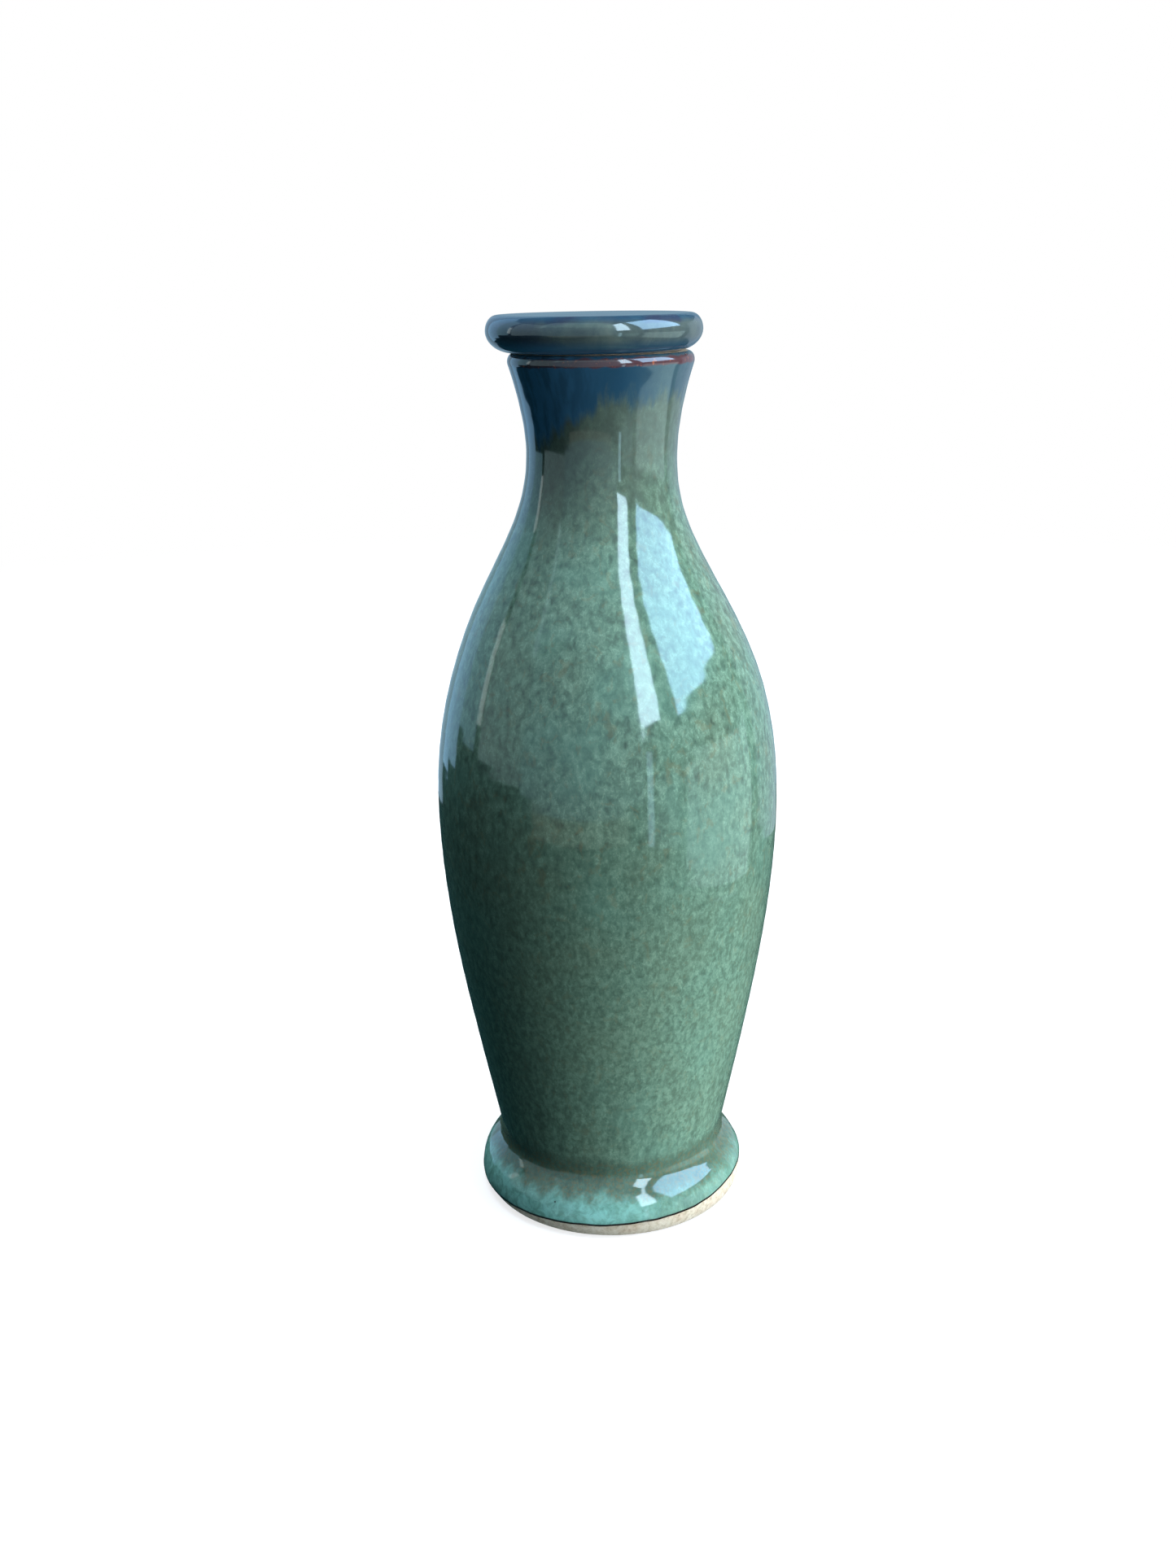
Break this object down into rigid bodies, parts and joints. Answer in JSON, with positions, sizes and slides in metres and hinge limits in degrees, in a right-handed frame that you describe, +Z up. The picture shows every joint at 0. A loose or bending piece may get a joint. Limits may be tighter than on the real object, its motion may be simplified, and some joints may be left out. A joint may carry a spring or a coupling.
{
  "type": "lidded bottle vase",
  "caption": "Slender wheel-thrown stoneware bottle vase with a rolled foot, a narrow flared neck, a mottled gloss glaze and a loose disc lid.",
  "frame": {"origin": "centre of the foot, in the plane that the pot stands on", "axes": "+Z up along the pot's turning axis; the lid lies 1.95 mm towards -X"},
  "size_m": [0.0948, 0.0948, 0.25],
  "materials": {
    "bare_clay": "matte",
    "green_glaze": "gloss",
    "liner_glaze": "gloss"
  },
  "bodies": {
    "vase": {"vase_body": "bare_clay", "foot_ring": "bare_clay", "outer_glaze": "green_glaze", "liner_glaze": "liner_glaze"},
    "lid": {"lid_disc": "bare_clay", "lid_flange": "bare_clay", "lid_glaze": "green_glaze"}
  },
  "joints": [
    {"name": "lid_lift", "type": "slide", "parent": "vase", "child": "lid", "axis": [0, 0, 1], "range_m": [0, 0.04]}
  ]
}
